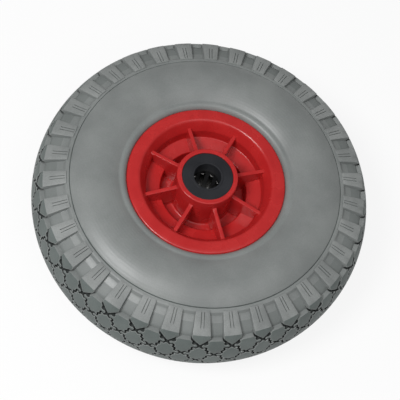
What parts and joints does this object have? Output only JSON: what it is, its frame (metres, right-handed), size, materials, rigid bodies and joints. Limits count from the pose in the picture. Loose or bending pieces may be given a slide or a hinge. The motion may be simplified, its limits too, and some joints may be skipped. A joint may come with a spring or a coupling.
{
  "type": "wheelbarrow wheel",
  "caption": "Wheel with a grey foam tyre, lugged diamond tread and red moulded rim, its hub carrying a caged roller bearing between two dark caps.",
  "frame": {"origin": "centre of the wheel, on its axis and its middle plane", "axes": "+Z along the wheel's axis towards the pictured face; +X through one of the rim's ribs"},
  "size_m": [0.2592, 0.2598, 0.078],
  "materials": {
    "tyre": "matt grey foam skin",
    "rim": "moulded, semi-gloss",
    "cage": "moulded, matt",
    "roller": "ground steel",
    "cap": "moulded, satin"
  },
  "bodies": {
    "wheel": {"tyre": "tyre", "rim": "rim", "bearing_cap_front": "cap", "bearing_cap_back": "cap"},
    "cage": {"roller_cage": "cage"},
    "roller_01": {"roller_01": "roller"},
    "roller_02": {"roller_02": "roller"},
    "roller_03": {"roller_03": "roller"},
    "roller_04": {"roller_04": "roller"},
    "roller_05": {"roller_05": "roller"},
    "roller_06": {"roller_06": "roller"},
    "roller_07": {"roller_07": "roller"},
    "roller_08": {"roller_08": "roller"},
    "roller_09": {"roller_09": "roller"},
    "roller_10": {"roller_10": "roller"}
  },
  "joints": [
    {"name": "cage_spin", "type": "hinge", "parent": "wheel", "child": "cage", "pos_m": [0, 0, 0], "axis": [0, 0, 1], "continuous": true},
    {"name": "roller_01_spin", "type": "hinge", "parent": "cage", "child": "roller_01", "pos_m": [0.01204, 0.00345, 0], "axis": [0, 0, 1], "continuous": true},
    {"name": "roller_02_spin", "type": "hinge", "parent": "cage", "child": "roller_02", "pos_m": [0.00771, 0.00987, 0], "axis": [0, 0, 1], "continuous": true},
    {"name": "roller_03_spin", "type": "hinge", "parent": "cage", "child": "roller_03", "pos_m": [0.00044, 0.01251, 0], "axis": [0, 0, 1], "continuous": true},
    {"name": "roller_04_spin", "type": "hinge", "parent": "cage", "child": "roller_04", "pos_m": [-0.007, 0.01038, 0], "axis": [0, 0, 1], "continuous": true},
    {"name": "roller_05_spin", "type": "hinge", "parent": "cage", "child": "roller_05", "pos_m": [-0.01176, 0.00428, 0], "axis": [0, 0, 1], "continuous": true},
    {"name": "roller_06_spin", "type": "hinge", "parent": "cage", "child": "roller_06", "pos_m": [-0.01204, -0.00345, 0], "axis": [0, 0, 1], "continuous": true},
    {"name": "roller_07_spin", "type": "hinge", "parent": "cage", "child": "roller_07", "pos_m": [-0.00771, -0.00987, 0], "axis": [0, 0, 1], "continuous": true},
    {"name": "roller_08_spin", "type": "hinge", "parent": "cage", "child": "roller_08", "pos_m": [-0.00044, -0.01251, 0], "axis": [0, 0, 1], "continuous": true},
    {"name": "roller_09_spin", "type": "hinge", "parent": "cage", "child": "roller_09", "pos_m": [0.007, -0.01038, 0], "axis": [0, 0, 1], "continuous": true},
    {"name": "roller_10_spin", "type": "hinge", "parent": "cage", "child": "roller_10", "pos_m": [0.01176, -0.00428, 0], "axis": [0, 0, 1], "continuous": true}
  ],
  "couplings": [
    {"joint": "roller_01_spin", "follows": "cage_spin", "ratio": -6.02},
    {"joint": "roller_02_spin", "follows": "cage_spin", "ratio": -6.02},
    {"joint": "roller_03_spin", "follows": "cage_spin", "ratio": -6.02},
    {"joint": "roller_04_spin", "follows": "cage_spin", "ratio": -6.02},
    {"joint": "roller_05_spin", "follows": "cage_spin", "ratio": -6.02},
    {"joint": "roller_06_spin", "follows": "cage_spin", "ratio": -6.02},
    {"joint": "roller_07_spin", "follows": "cage_spin", "ratio": -6.02},
    {"joint": "roller_08_spin", "follows": "cage_spin", "ratio": -6.02},
    {"joint": "roller_09_spin", "follows": "cage_spin", "ratio": -6.02},
    {"joint": "roller_10_spin", "follows": "cage_spin", "ratio": -6.02}
  ]
}
